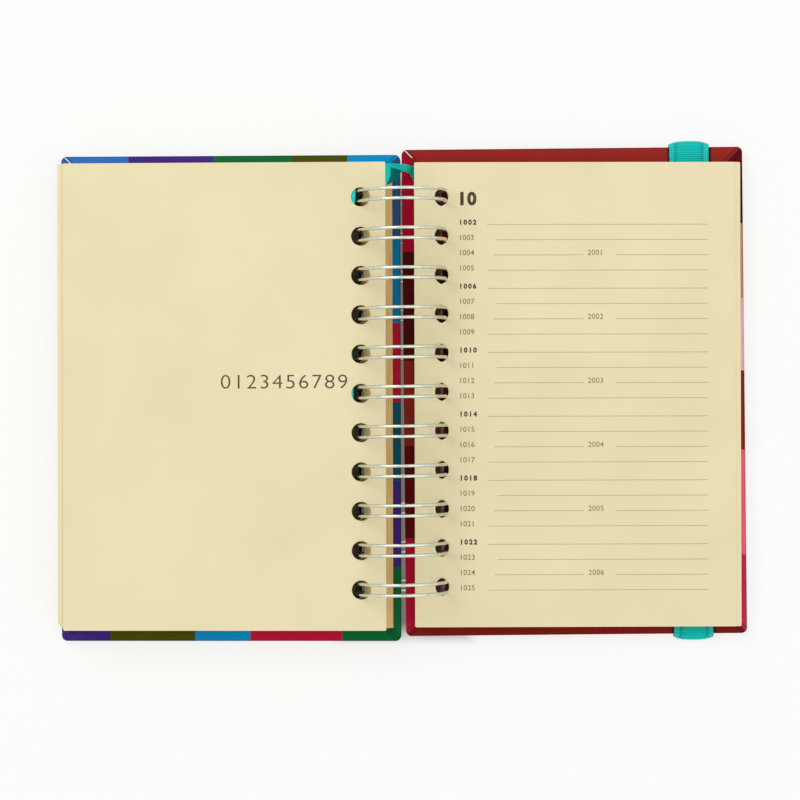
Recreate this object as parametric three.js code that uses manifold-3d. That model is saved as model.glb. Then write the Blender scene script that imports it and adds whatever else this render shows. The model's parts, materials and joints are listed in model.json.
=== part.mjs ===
// A wire-bound hard-cover diary, lying open on a table.
// Units are millimetres. +X runs across the spread, +Y to the top of the pages, +Z up.
// Everything is first placed about the binding's own axis, then the whole spread is set down
// with the table at z = 0 and its outline centred on the origin.

import * as THREE from 'three';
import * as BufferGeometryUtils from 'three/addons/utils/BufferGeometryUtils.js';
import Module from 'manifold-3d';

const wasm = await Module();
wasm.setup();

// Binding: a twin-loop wire comb
const loopPitch = 12.7;
const loopEndMargin = 8;
const wireDiameter = 1.05;
const ringRadius = 14.4;
const legSpacing = 3.3;
const loopSlant = 0.25;
const baseCornerRadius = 1.1;
const tipGap = 0.6;
const wireSides = 6;
const legSteps = 15;
const cornerSteps = 2;
const tipSteps = 4;
const wireEndStub = 1.5;

// Leaves
const leafWidth = 104.8;
const leafHeight = 151.5;
const leafHoleDiameter = 6.2;
const leafHoleToEdge = 8;
const titleLeafSlack = 0.85;
const topLeafSlack = 1.5;
const leftFan = 0.72;
const rightFan = 0.6;
const leafCornerRadius = 0.5;
const cornerCut = 2.2;
const holeRowRise = 0.9;
const monthCount = 12;
const plannerThickness = 1.3;
const titleLeafThickness = 0.15;
const addressThicknesses = [1.5, 1.5, 1.2, 0.12];
const leafGap = 0.03;

// Hard covers
const coverWidth = 111.7;
const coverHeight = 159.4;
const boardThickness = 2;
const wrapThickness = 0.25;
const turnInWidth = 15;
const endpaperThickness = 0.18;
const endpaperMargin = 3;
const coverCornerRadius = 1.8;
const coverHoleDiameter = 9.4;
const coverSpineToAxis = 0.7;
const glueGap = 0.02;
const coverTurn = 0.4;

// As many loops as fit along the leaves and the covers, with the margin left at each end
const holeRowLength = Math.min(leafHeight, coverHeight) - 2 * (holeRowRise + loopEndMargin);
const loopCount = Math.floor(holeRowLength / loopPitch) + 1;

// How the two halves lie on the rings
const coverRise = 2.3;
const frontCoverShift = -0.9;
const backCoverShift = 0.7;
const leftLeafShift = -0.45;
const rightLeafShift = 0.05;
const seamLift = 1.45;
const seamClearance = 0.15;
const restGap = 0.1;

// Closing band
const bandWidth = 13;
const bandThickness = 0.8;
const bandToAxis = 95;
const bandBulge = 2.2;
const bandTabLength = 14;
const bandCornerRadius = 1.6;
const bandGap = 0.05;

// Ribbon marker
const ribbonWidth = 6;
const ribbonThickness = 0.2;
const ribbonGap = 0.08;
const ribbonTopMargin = 0.6;
const ribbonTabLength = 16;
const ribbonTabStart = 6;
const ribbonTail = 147;
const ribbonToWire = 1.4;
const ribbonButtGap = 0.5;

// Facets: the inner sections' holes are seen only through the outer leaves' holes
const holeSides = 8;
const innerHoleSides = 6;
const cornerSegments = 2;
const degrees = Math.PI / 180;

// Heights measured from the binding's axis, in the frame of each half
const wireRadius = wireDiameter / 2;
const axisHeight = ringRadius + wireRadius;
const coverUnderside = coverRise - axisHeight;
const coverThickness = wrapThickness * 2 + boardThickness + glueGap * 3 + endpaperThickness;
const coverInside = coverUnderside + coverThickness;
const rightBottom = coverInside + seamLift;
const sum = (list) => list.reduce((total, value) => total + value, 0);
const rightTop = rightBottom + sum(addressThicknesses) + leafGap * (addressThicknesses.length - 1);
const leftTop = -rightTop - leafGap;
const leftBottom = coverInside + leafGap;
const ribbonSpace = ribbonThickness + ribbonGap * 2;
const monthsTotal = leftTop - leftBottom - plannerThickness - titleLeafThickness - ribbonSpace - leafGap * monthCount;
const monthThickness = monthsTotal / monthCount;

// Tilts about the axis that bring the outer edges down to what they rest on
const coverReach = coverSpineToAxis + coverWidth;
const leftTilt = tiltToFloor(coverReach, coverUnderside);
const bandReach = bandToAxis + bandWidth / 2;
const rightTilt = tiltToFloor(bandReach, coverUnderside - bandGap - bandThickness);
const leafReach = leafWidth - leafHoleToEdge + ringRadius;
const rightLeafTilt = rightTilt + Math.asin((seamLift - restGap) / leafReach);

function tiltToFloor(reach, height) {
  const distance = Math.hypot(reach, height);
  return Math.asin(axisHeight / distance) - Math.atan2(-height, reach);
}

// Solid helpers
function toSolid(geometry) {
  geometry.deleteAttribute('normal');
  geometry.deleteAttribute('uv');
  const merged = BufferGeometryUtils.mergeVertices(geometry, 1e-5);
  return new wasm.Manifold(new wasm.Mesh({
    numProp: 3,
    vertProperties: new Float32Array(merged.attributes.position.array),
    triVerts: new Uint32Array(merged.index.array),
  }));
}

function toGeometry(solid) {
  const mesh = solid.getMesh();
  const geometry = new THREE.BufferGeometry();
  geometry.setAttribute('position', new THREE.BufferAttribute(mesh.vertProperties, 3));
  geometry.setIndex(new THREE.BufferAttribute(mesh.triVerts, 1));
  return geometry;
}

function paint(color, roughness, metalness = 0) {
  return new THREE.MeshStandardMaterial({ color, roughness, metalness });
}

const paperFinish = () => paint(0xe9dfb9, 0.85);
const greyboardFinish = () => paint(0x9a938a, 0.95);
const endpaperFinish = () => paint(0xe4dcc0, 0.85);
const bandFinish = () => paint(0x0abeb4, 0.75);
const ribbonFinish = () => paint(0x20b8b4, 0.45);
const wireFinish = () => paint(0xd4d8d2, 0.25, 0.9);

// A rectangle with rounded corners between two corners
function roundedOutline(x0, x1, y0, y1, radius) {
  const shape = new THREE.Shape();
  shape.moveTo(x0 + radius, y0);
  shape.absarc(x1 - radius, y0 + radius, radius, -Math.PI / 2, 0);
  shape.absarc(x1 - radius, y1 - radius, radius, 0, Math.PI / 2);
  shape.absarc(x0 + radius, y1 - radius, radius, Math.PI / 2, Math.PI);
  shape.absarc(x0 + radius, y0 + radius, radius, Math.PI, Math.PI * 1.5);
  shape.closePath();
  return shape;
}

function holePath(x, y, diameter, sides) {
  const outerRadius = diameter / 2 / Math.cos(Math.PI / sides);
  const points = [];
  for (let i = 0; i < sides; i++) {
    const angle = -2 * Math.PI * (i + 0.5) / sides;
    points.push(new THREE.Vector2(x + outerRadius * Math.cos(angle), y + outerRadius * Math.sin(angle)));
  }
  return new THREE.Path(points);
}

function loopY(index) {
  return (index - (loopCount - 1) / 2) * loopPitch;
}

function punch(shape, x, diameter, sides = holeSides) {
  for (let i = 0; i < loopCount; i++) {
    shape.holes.push(holePath(x, loopY(i), diameter, sides));
  }
  return shape;
}

function plate(shape, bottom, thickness) {
  const geometry = new THREE.ExtrudeGeometry(shape, {
    depth: thickness, bevelEnabled: false, curveSegments: cornerSegments,
  });
  geometry.translate(0, 0, bottom);
  return geometry;
}

function box(x0, x1, y0, y1, z0, z1) {
  const geometry = new THREE.BoxGeometry(x1 - x0, y1 - y0, z1 - z0);
  geometry.translate((x0 + x1) / 2, (y0 + y1) / 2, (z0 + z1) / 2);
  return geometry;
}

// How far from the axis a single leaf's holes lie: on the ring, less its slack on the loops
function leafHoleReach(level, slack) {
  return Math.sqrt(ringRadius ** 2 - level ** 2) - slack;
}

// Blocks of leaves slide outwards on the loops until the slanting ring meets the holes' walls
function blockHoleReach(level, thickness, fan) {
  const ring = Math.sqrt(ringRadius ** 2 - level ** 2);
  const lean = Math.abs(level) / ring * thickness / 2;
  return ring + fan - lean;
}

// A leaf or a block of leaves, for side 1 on the right or -1 on the left, with its outer bottom corner cut
function leafBlock(side, holeReach, bottom, thickness, sides, cut) {
  const holeX = side * holeReach;
  const spineX = holeX - side * leafHoleToEdge;
  const outerX = spineX + side * leafWidth;
  const lowY = -holeRowRise - leafHeight / 2;
  const highY = -holeRowRise + leafHeight / 2;
  let outline = roundedOutline(
    Math.min(spineX, outerX), Math.max(spineX, outerX), lowY, highY, leafCornerRadius);
  if (cut > 0) {
    const corners = [
      [spineX, lowY], [outerX - side * cut, lowY], [outerX, lowY + cut], [outerX, highY], [spineX, highY],
    ].map(([x, y]) => new THREE.Vector2(x, y));
    outline = new THREE.Shape(side < 0 ? corners.reverse() : corners);
  }
  return plate(punch(outline, holeX, leafHoleDiameter, sides), bottom, thickness);
}

// Hard cover: greyboard in a printed wrap whose turned-in edges lie under the endpaper
const coverMiddle = (coverUnderside + coverInside) / 2;
const coverHoleX = Math.sqrt(ringRadius ** 2 - coverMiddle ** 2);

function coverOutline(side, inset, radius) {
  const spineX = side * (coverSpineToAxis + inset);
  const outerX = side * (coverReach - inset);
  const halfHeight = coverHeight / 2 - inset;
  return roundedOutline(
    Math.min(spineX, outerX), Math.max(spineX, outerX),
    -halfHeight - holeRowRise, halfHeight - holeRowRise, radius);
}

// Grooves in the inner face that the closing band's tabs lie in
function bandGrooves() {
  const depth = bandThickness + bandGap * 2;
  const halfWidth = bandWidth / 2 + bandGap * 4;
  const halfHeight = coverHeight / 2;
  const inner = halfHeight - bandTabLength - bandGap * 4;
  const top = coverInside - endpaperThickness - glueGap;
  return [-1, 1].map((end) => {
    const edges = [end * inner, end * (halfHeight + 1)].sort((a, b) => a - b);
    return toSolid(box(bandToAxis - halfWidth, bandToAxis + halfWidth,
      edges[0] - holeRowRise, edges[1] - holeRowRise, top - depth, coverInside + 1));
  });
}

function coverPieces(side, name, wrapColor, grooves) {
  const boardBottom = coverUnderside + wrapThickness + glueGap;
  const turnInTop = boardBottom + boardThickness + glueGap + wrapThickness;
  const holeX = side * coverHoleX;
  let board = toSolid(plate(
    punch(coverOutline(side, wrapThickness + glueGap, coverCornerRadius - wrapThickness), holeX, coverHoleDiameter),
    boardBottom, boardThickness));
  let wrap = toSolid(plate(
    punch(coverOutline(side, 0, coverCornerRadius), holeX, coverHoleDiameter),
    coverUnderside, turnInTop - coverUnderside));
  const pocket = toSolid(plate(coverOutline(side, wrapThickness, coverCornerRadius - wrapThickness),
    coverUnderside + wrapThickness, boardThickness + glueGap * 2));
  const windowCut = toSolid(plate(coverOutline(side, turnInWidth, 1),
    boardBottom + boardThickness, wrapThickness * 3));
  wrap = wrap.subtract(pocket).subtract(windowCut);
  for (const groove of grooves) {
    board = board.subtract(groove);
    wrap = wrap.subtract(groove);
  }
  const endpaper = plate(
    punch(coverOutline(side, endpaperMargin, 1), holeX, coverHoleDiameter),
    turnInTop + glueGap, endpaperThickness);
  return [
    namedMesh(`${name}_board`, toGeometry(board), greyboardFinish()),
    namedMesh(`${name}_wrap`, toGeometry(wrap), paint(wrapColor, 0.45)),
    namedMesh(`${name}_endpaper`, endpaper, endpaperFinish()),
  ];
}

function namedMesh(name, geometry, material) {
  const mesh = new THREE.Mesh(geometry, material);
  mesh.name = name;
  return mesh;
}

// Twin-loop wire. Its path is drawn on the unrolled ring, y along the spine and s round the ring from
// the base between two loops, and then rolled up. The tips end just short of the bases.
const seamHeight = coverInside + seamClearance + wireRadius;
const seamAngle = Math.asin(seamHeight / ringRadius) - rightTilt;

function unrolledWire() {
  const points = [];
  const circumference = 2 * Math.PI * ringRadius;
  const tipRadius = legSpacing / 2;
  const tipStart = circumference - wireDiameter - tipGap - tipRadius;
  const corner = baseCornerRadius;
  const arc = (cy, cs, radius, from, to, steps) => {
    for (let i = 0; i <= steps; i++) {
      const angle = from + (to - from) * i / steps;
      points.push([cy + radius * Math.cos(angle), cs + radius * Math.sin(angle)]);
    }
  };
  const leg = (y, from, to) => {
    for (let i = 1; i < legSteps; i++) {
      points.push([y, from + (to - from) * i / legSteps]);
    }
  };
  points.push([loopY(0) - legSpacing / 2 - wireEndStub, 0]);
  for (let i = 0; i < loopCount; i++) {
    const near = loopY(i) - legSpacing / 2;
    const far = loopY(i) + legSpacing / 2;
    arc(near - corner, corner, corner, -Math.PI / 2, 0, cornerSteps);
    leg(near, corner, tipStart);
    arc(loopY(i), tipStart, tipRadius, Math.PI, 0, tipSteps);
    leg(far, tipStart, corner);
    arc(far + corner, corner, corner, Math.PI, Math.PI * 1.5, cornerSteps);
  }
  points.push([loopY(loopCount - 1) + legSpacing / 2 + wireEndStub, 0]);
  return points;
}

function rolledWire() {
  return unrolledWire().map(([y, s]) => {
    const angle = seamAngle + s / ringRadius;
    return new THREE.Vector3(
      ringRadius * Math.cos(angle), y + loopSlant * Math.cos(angle), ringRadius * Math.sin(angle));
  });
}

// One closed tube through the points, with sections that don't twist
function tube(points, radius, sides) {
  const positions = [];
  const indices = [];
  const tangentAt = (i) => new THREE.Vector3()
    .subVectors(points[Math.min(i + 1, points.length - 1)], points[Math.max(i - 1, 0)]).normalize();
  let normal = new THREE.Vector3(points[0].x, 0, points[0].z).normalize();
  points.forEach((point, i) => {
    const tangent = tangentAt(i);
    normal = normal.clone().addScaledVector(tangent, -normal.dot(tangent)).normalize();
    const binormal = new THREE.Vector3().crossVectors(tangent, normal);
    for (let k = 0; k < sides; k++) {
      const angle = 2 * Math.PI * k / sides;
      const corner = point.clone()
        .addScaledVector(normal, radius * Math.cos(angle))
        .addScaledVector(binormal, radius * Math.sin(angle));
      positions.push(corner.x, corner.y, corner.z);
    }
  });
  for (let i = 0; i + 1 < points.length; i++) {
    for (let k = 0; k < sides; k++) {
      const next = (k + 1) % sides;
      const a = i * sides + k;
      const b = i * sides + next;
      const c = a + sides;
      const d = b + sides;
      indices.push(a, b, d, a, d, c);
    }
  }
  const last = (points.length - 1) * sides;
  for (let k = 1; k + 1 < sides; k++) {
    indices.push(0, k + 1, k);
    indices.push(last, last + k, last + k + 1);
  }
  const geometry = new THREE.BufferGeometry();
  geometry.setAttribute('position', new THREE.Float32BufferAttribute(positions, 3));
  geometry.setIndex(indices);
  return geometry;
}

// The least air between two stretches of the wire that lie further apart along it than a tip is wide
function leastSelfGap(points) {
  const along = [0];
  for (let i = 1; i < points.length; i++) {
    along.push(along[i - 1] + points[i].distanceTo(points[i - 1]));
  }
  let least = Infinity;
  const line = new THREE.Line3();
  const nearest = new THREE.Vector3();
  for (let i = 0; i < points.length; i++) {
    for (let j = 0; j + 1 < points.length; j++) {
      const apart = Math.min(Math.abs(along[i] - along[j]), Math.abs(along[i] - along[j + 1]));
      if (apart < legSpacing * 2) continue;
      line.set(points[j], points[j + 1]);
      line.closestPointToPoint(points[i], true, nearest);
      least = Math.min(least, nearest.distanceTo(points[i]));
    }
  }
  return least - wireDiameter;
}

// Closing band: one woven strip across the outer face, over both edges, with its tabs in the grooves
function closingBand() {
  const halfHeight = coverHeight / 2;
  const under = coverUnderside - bandGap;
  const tabTop = coverInside - endpaperThickness - glueGap - bandGap;
  const reach = halfHeight + bandBulge;
  const inner = halfHeight - bandTabLength;
  const radius = bandCornerRadius;
  const wall = bandThickness;
  const shape = new THREE.Shape();
  shape.moveTo(-inner, tabTop);
  shape.lineTo(-reach + radius, tabTop);
  shape.absarc(-reach + radius, tabTop - radius, radius, Math.PI / 2, Math.PI);
  shape.absarc(-reach + radius, under - wall + radius, radius, Math.PI, Math.PI * 1.5);
  shape.lineTo(reach - radius, under - wall);
  shape.absarc(reach - radius, under - wall + radius, radius, -Math.PI / 2, 0);
  shape.absarc(reach - radius, tabTop - radius, radius, 0, Math.PI / 2);
  shape.lineTo(inner, tabTop);
  shape.lineTo(inner, tabTop - wall);
  shape.lineTo(reach - radius, tabTop - wall);
  shape.absarc(reach - radius, tabTop - radius, radius - wall, Math.PI / 2, 0, true);
  shape.absarc(reach - radius, under - wall + radius, radius - wall, 0, -Math.PI / 2, true);
  shape.lineTo(-reach + radius, under);
  shape.absarc(-reach + radius, under - wall + radius, radius - wall, -Math.PI / 2, -Math.PI, true);
  shape.absarc(-reach + radius, tabTop - radius, radius - wall, Math.PI, Math.PI / 2, true);
  shape.lineTo(-inner, tabTop - wall);
  shape.closePath();
  const geometry = new THREE.ExtrudeGeometry(shape, {
    depth: bandWidth, bevelEnabled: false, curveSegments: cornerSegments + 1,
  });
  // The profile is drawn in y and z, and runs along x
  geometry.applyMatrix4(new THREE.Matrix4().makeBasis(
    new THREE.Vector3(0, 1, 0), new THREE.Vector3(0, 0, 1), new THREE.Vector3(1, 0, 0)));
  geometry.translate(bandToAxis - bandWidth / 2, -holeRowRise, 0);
  return geometry;
}

// Where a point of a half lies once that half is tilted about the axis
function turned(x, z, angle) {
  return [x * Math.cos(angle) + z * Math.sin(angle), z * Math.cos(angle) - x * Math.sin(angle)];
}

// A flat ribbon that follows a smooth line of points
function strip(points, acrossFor, steps) {
  const curve = new THREE.CatmullRomCurve3(points, false, 'centripetal');
  const positions = [];
  const indices = [];
  for (let i = 0; i <= steps; i++) {
    const t = i / steps;
    const centre = curve.getPointAt(t);
    const tangent = curve.getTangentAt(t);
    const across = acrossFor(tangent).normalize();
    const lift = new THREE.Vector3().crossVectors(tangent, across).normalize();
    const halfWidth = across.clone().multiplyScalar(ribbonWidth / 2);
    const halfLift = lift.multiplyScalar(ribbonThickness / 2);
    for (const [a, b] of [[-1, -1], [1, -1], [1, 1], [-1, 1]]) {
      const corner = centre.clone().addScaledVector(halfWidth, a).addScaledVector(halfLift, b);
      positions.push(corner.x, corner.y, corner.z);
    }
  }
  for (let i = 0; i < steps; i++) {
    for (let k = 0; k < 4; k++) {
      const a = i * 4 + k;
      const b = i * 4 + (k + 1) % 4;
      indices.push(a, b, b + 4, a, b + 4, a + 4);
    }
  }
  const last = steps * 4;
  indices.push(0, 2, 1, 0, 3, 2, last, last + 1, last + 2, last, last + 2, last + 3);
  const geometry = new THREE.BufferGeometry();
  geometry.setAttribute('position', new THREE.Float32BufferAttribute(positions, 3));
  geometry.setIndex(indices);
  const solid = toSolid(geometry);
  if (solid.volume() < 0) {
    geometry.setIndex(indices.reverse());
  }
  return geometry;
}

// Assembly about the binding's axis
const spread = new THREE.Group();
const wirePath = rolledWire();
spread.add(namedMesh('twin_loop_wire', tube(wirePath, wireRadius, wireSides), wireFinish()));

const frontCover = new THREE.Group();
frontCover.rotation.y = -leftTilt;
frontCover.position.y = frontCoverShift;
spread.add(frontCover);

const leftLeaves = new THREE.Group();
leftLeaves.rotation.y = -leftTilt;
leftLeaves.position.y = leftLeafShift;
spread.add(leftLeaves);

const rightCover = new THREE.Group();
rightCover.rotation.set(0, rightTilt, coverTurn * degrees, 'ZYX');
rightCover.position.y = backCoverShift;
spread.add(rightCover);

const rightLeaves = new THREE.Group();
rightLeaves.rotation.y = rightLeafTilt;
rightLeaves.position.y = rightLeafShift;
spread.add(rightLeaves);

frontCover.add(...coverPieces(-1, 'front_cover', 0x17568c, []));
rightCover.add(...coverPieces(1, 'back_cover', 0x8c1f28, bandGrooves()));
rightCover.add(namedMesh('closing_band', closingBand(), bandFinish()));

// Left stack, from the cover up
let height = leftBottom;
function addBlock(side, group, name, thickness, gapAfter, cut) {
  const holeReach = blockHoleReach(height + thickness / 2, thickness, side < 0 ? leftFan : rightFan);
  group.add(namedMesh(name, leafBlock(side, holeReach, height, thickness, innerHoleSides, cut), paperFinish()));
  height += thickness + gapAfter;
}

function addLeaf(side, group, name, thickness, slack) {
  const holeReach = leafHoleReach(height + thickness / 2, slack);
  group.add(namedMesh(name, leafBlock(side, holeReach, height, thickness, holeSides, 0), paperFinish()));
  height += thickness;
}

addBlock(-1, leftLeaves, 'planner_section', plannerThickness, leafGap, cornerCut);
for (let month = 1; month <= monthCount; month++) {
  const gapAfter = month === monthCount ? ribbonSpace : leafGap;
  addBlock(-1, leftLeaves, `month_${String(month).padStart(2, '0')}_section`, monthThickness, gapAfter, cornerCut);
}
const ribbonBottom = height - ribbonSpace + ribbonGap;
addLeaf(-1, leftLeaves, 'title_leaf', titleLeafThickness, titleLeafSlack);

// Right stack, from the seam up
height = rightBottom;
['address_section_back', 'address_section_middle', 'address_section_front'].forEach((name, i) => {
  addBlock(1, rightLeaves, name, addressThicknesses[i], leafGap, 0);
});
addLeaf(1, rightLeaves, 'address_top_leaf', addressThicknesses[3], topLeafSlack);

// Ribbon marker: glued to the back cover, up between the halves, and down under the title leaf
const leafTop = leafHeight / 2 - holeRowRise;
const ribbonY = leafTop - ribbonTopMargin - ribbonWidth / 2;
const slotHeight = ribbonBottom + ribbonThickness / 2;
const wireAtSlot = -Math.sqrt(ringRadius ** 2 - slotHeight ** 2);
const tailX = wireAtSlot - ribbonToWire - ribbonWidth / 2;
const tailDrift = [0, 0.4, 1.6, 0.9, 3.2, 2.6];
const tailPoints = tailDrift.map((drift, i) => new THREE.Vector3(
  tailX - drift, leafTop - ribbonTopMargin - ribbonTail * i / (tailDrift.length - 1), slotHeight));
const tail = strip(tailPoints, (tangent) => new THREE.Vector3(-tangent.y, tangent.x, 0), 20);
leftLeaves.add(namedMesh('ribbon_tail', tail, ribbonFinish()));

const alongY = () => new THREE.Vector3(0, 1, 0);
const tabHeight = coverInside + ribbonGap + ribbonThickness / 2;
const tab = strip(
  [ribbonTabStart + ribbonTabLength, ribbonTabStart].map((x) => (
    new THREE.Vector3(x, ribbonY - backCoverShift, tabHeight))),
  alongY, 1);
rightCover.add(namedMesh('ribbon_tab', tab, ribbonFinish()));

// The bridge climbs in the open space inside the rings, from the tab to the slot under the title leaf
const slotMouth = leafHoleToEdge - leafHoleReach(leftTop, titleLeafSlack);
const onSlot = (x) => turned(x, slotHeight, -leftTilt);
const tabEnd = turned(ribbonTabStart - ribbonButtGap, tabHeight, rightTilt);
const tailEdge = tailX + ribbonWidth / 2 + ribbonButtGap;
const bridge = strip(
  [
    tabEnd,
    [tabEnd[0] - 1, tabEnd[1] + 0.05],
    [tabEnd[0] - 2.6, tabEnd[1] + 0.6],
    [tabEnd[0] - 4.2, tabEnd[1] + 4],
    [slotMouth / 2 + 1.4, 0],
    [slotMouth / 2, slotHeight - 1.8],
    onSlot(slotMouth + 1.6),
    onSlot(slotMouth + 0.4),
    onSlot((slotMouth + tailEdge) / 2),
    onSlot(tailEdge),
  ].map(([x, z]) => new THREE.Vector3(x, ribbonY, z)),
  alongY, 24);
spread.add(namedMesh('ribbon_bridge', bridge, ribbonFinish()));

// Set down on the table with the outline centred
spread.updateMatrixWorld(true);
const outline = new THREE.Box3().setFromObject(spread, true);
const diary = new THREE.Group();
diary.add(spread);
spread.position.set(-(outline.min.x + outline.max.x) / 2, -(outline.min.y + outline.max.y) / 2, -outline.min.z);

console.log('least gap of the wire to itself, mm', leastSelfGap(wirePath).toFixed(3));
console.log('binding axis x, z', spread.position.x.toFixed(4), spread.position.z.toFixed(4));
console.log('tilts, degrees', [leftTilt, rightTilt, rightLeafTilt].map((angle) => (angle / degrees).toFixed(4)).join(' '));

export default diary;
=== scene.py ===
# The looks of a wire-bound hard-cover diary that lies open, on its CAD frame.
# Lengths are millimetres in the part's own layout, about the binding's axis, until a mesh is placed.
import json
from functools import partialmethod
from math import asin, cos, hypot, pi, radians, sin, sqrt

import bmesh
import bpy
from mathutils import Euler, Matrix, Vector, geometry


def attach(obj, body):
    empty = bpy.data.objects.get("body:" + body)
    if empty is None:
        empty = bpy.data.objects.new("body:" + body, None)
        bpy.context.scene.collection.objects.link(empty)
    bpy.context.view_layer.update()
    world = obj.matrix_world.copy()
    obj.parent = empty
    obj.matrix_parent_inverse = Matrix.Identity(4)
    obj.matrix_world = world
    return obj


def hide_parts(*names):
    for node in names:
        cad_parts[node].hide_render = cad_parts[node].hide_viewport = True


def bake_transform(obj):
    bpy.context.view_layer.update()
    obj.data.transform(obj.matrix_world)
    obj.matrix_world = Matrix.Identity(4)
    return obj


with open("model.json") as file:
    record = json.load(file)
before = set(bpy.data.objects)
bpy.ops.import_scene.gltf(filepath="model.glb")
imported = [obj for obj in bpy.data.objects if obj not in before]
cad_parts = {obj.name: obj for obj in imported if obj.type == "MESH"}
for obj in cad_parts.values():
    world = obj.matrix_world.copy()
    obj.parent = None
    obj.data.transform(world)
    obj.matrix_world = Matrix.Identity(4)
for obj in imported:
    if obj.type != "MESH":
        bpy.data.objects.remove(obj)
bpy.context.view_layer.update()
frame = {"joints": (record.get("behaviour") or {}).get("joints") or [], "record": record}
record = frame["record"]
scene = bpy.context.scene

MM = 0.001

# Driving sizes, the same as in the part
LOOP_COUNT = 11
LOOP_PITCH = 12.7
WIRE_DIAMETER = 1.05
RING_RADIUS = 14.4
LEG_SPACING = 3.3
LOOP_SLANT = 0.25
BASE_CORNER = 1.1
TIP_GAP = 0.6
WIRE_STUB = 1.5
LEAF_WIDTH = 104.8
LEAF_HEIGHT = 151.5
LEAF_HOLE = 6.2
LEAF_HOLE_TO_EDGE = 8
TITLE_SLACK = 0.85
TOP_LEAF_SLACK = 1.5
LEFT_FAN = 0.72
RIGHT_FAN = 0.6
LEAF_CORNER = 0.5
CORNER_CUT = 2.2
HOLE_ROW_RISE = 0.9
MONTH_COUNT = 12
PLANNER_THICKNESS = 1.3
TITLE_THICKNESS = 0.15
ADDRESS_THICKNESSES = (1.5, 1.5, 1.2, 0.12)
LEAF_GAP = 0.03
COVER_WIDTH = 111.7
COVER_HEIGHT = 159.4
BOARD_THICKNESS = 2
WRAP_THICKNESS = 0.25
ENDPAPER_THICKNESS = 0.18
ENDPAPER_MARGIN = 3
COVER_CORNER = 1.8
COVER_HOLE = 9.4
COVER_TO_AXIS = 0.7
GLUE_GAP = 0.02
COVER_TURN = radians(0.4)
COVER_RISE = 2.3
FRONT_COVER_SHIFT = -0.9
BACK_COVER_SHIFT = 0.7
LEFT_LEAF_SHIFT = -0.45
RIGHT_LEAF_SHIFT = 0.05
SEAM_LIFT = 1.45
SEAM_CLEARANCE = 0.15
REST_GAP = 0.1
BAND_WIDTH = 13
BAND_THICKNESS = 0.8
BAND_TO_AXIS = 95
BAND_BULGE = 2.2
BAND_TAB = 14
BAND_CORNER = 1.6
BAND_GAP = 0.05
SELVEDGE = 4.6
EDGE_SLUMP = 0.9
LINING_NOTCH = 7.5
RIBBON_WIDTH = 6
RIBBON_THICKNESS = 0.2
RIBBON_GAP = 0.08
RIBBON_MARGIN = 0.6
RIBBON_TAB = 16
RIBBON_TAB_START = 6
RIBBON_TO_WIRE = 1.4
RIBBON_BUTT_GAP = 0.5

# Fineness and small features of the looks
LEG_STEPS = 60
WIRE_SIDES = 12
RIM_ROUNDING = 0.55
RIM_REACH = 1.2
EDGE_WAVE = 0.16
RIBBON_COLUMNS = 8
RIBBON_DRIFT = ((0, -0.5), (11, -0.58), (19, 0.8), (40, 1.5), (74, 0.2), (95, 1.2), (147, 2.0))
RIBBON_BEND = ((4.5, -4.4), (-5.5, 1.8))
FOLD_LEFT = -4.9
FOLD_RIGHT = 0.9

# Heights in the frame of each half, from the binding's axis
WIRE_RADIUS = WIRE_DIAMETER / 2
AXIS_HEIGHT = RING_RADIUS + WIRE_RADIUS
COVER_UNDER = COVER_RISE - AXIS_HEIGHT
COVER_THICKNESS = WRAP_THICKNESS * 2 + BOARD_THICKNESS + GLUE_GAP * 3 + ENDPAPER_THICKNESS
COVER_INSIDE = COVER_UNDER + COVER_THICKNESS
BOARD_BOTTOM = COVER_UNDER + WRAP_THICKNESS + GLUE_GAP
TURN_IN_TOP = BOARD_BOTTOM + BOARD_THICKNESS + GLUE_GAP + WRAP_THICKNESS
RIGHT_BOTTOM = COVER_INSIDE + SEAM_LIFT
RIGHT_TOP = RIGHT_BOTTOM + sum(ADDRESS_THICKNESSES) + LEAF_GAP * (len(ADDRESS_THICKNESSES) - 1)
LEFT_TOP = -RIGHT_TOP - LEAF_GAP
LEFT_BOTTOM = COVER_INSIDE + LEAF_GAP
RIBBON_SPACE = RIBBON_THICKNESS + RIBBON_GAP * 2
MONTHS_TOTAL = (
    LEFT_TOP - LEFT_BOTTOM - PLANNER_THICKNESS - TITLE_THICKNESS - RIBBON_SPACE - LEAF_GAP * MONTH_COUNT
)
MONTH_THICKNESS = MONTHS_TOTAL / MONTH_COUNT
COVER_MIDDLE = COVER_TO_AXIS + COVER_WIDTH / 2
COVER_REACH = COVER_TO_AXIS + COVER_WIDTH
LEAF_LOW = -LEAF_HEIGHT / 2 - HOLE_ROW_RISE
LEAF_HIGH = LEAF_HEIGHT / 2 - HOLE_ROW_RISE
RIBBON_TOP = LEAF_HIGH - RIBBON_MARGIN
COVER_HOLE_X = sqrt(RING_RADIUS**2 - ((COVER_UNDER + COVER_INSIDE) / 2) ** 2)

# Places of the two halves: the binding's axis and the tilts come from the frame
axis_place = next(j for j in frame["joints"] if j["name"] == "front_cover_turn")["pos_m"]
mounts = {m["name"]: m for m in record["mounts"]}
left_tilt = asin(mounts["front_cover_face"]["axis"][0])
right_tilt = asin(-mounts["band_rest"]["axis"][0])
leaf_reach = LEAF_WIDTH - LEAF_HOLE_TO_EDGE + RING_RADIUS
right_leaf_tilt = right_tilt + asin((SEAM_LIFT - REST_GAP) / leaf_reach)


def half_place(tilt, shift, turn=0.0):
    """Takes a point of a half, in millimetres about the axis, to its place in the row frame."""
    to_axis = Matrix.Translation(Vector(axis_place) + Vector((0, shift * MM, 0)))
    return to_axis @ Matrix.Rotation(turn, 4, "Z") @ Matrix.Rotation(tilt, 4, "Y") @ Matrix.Scale(MM, 4)


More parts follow.
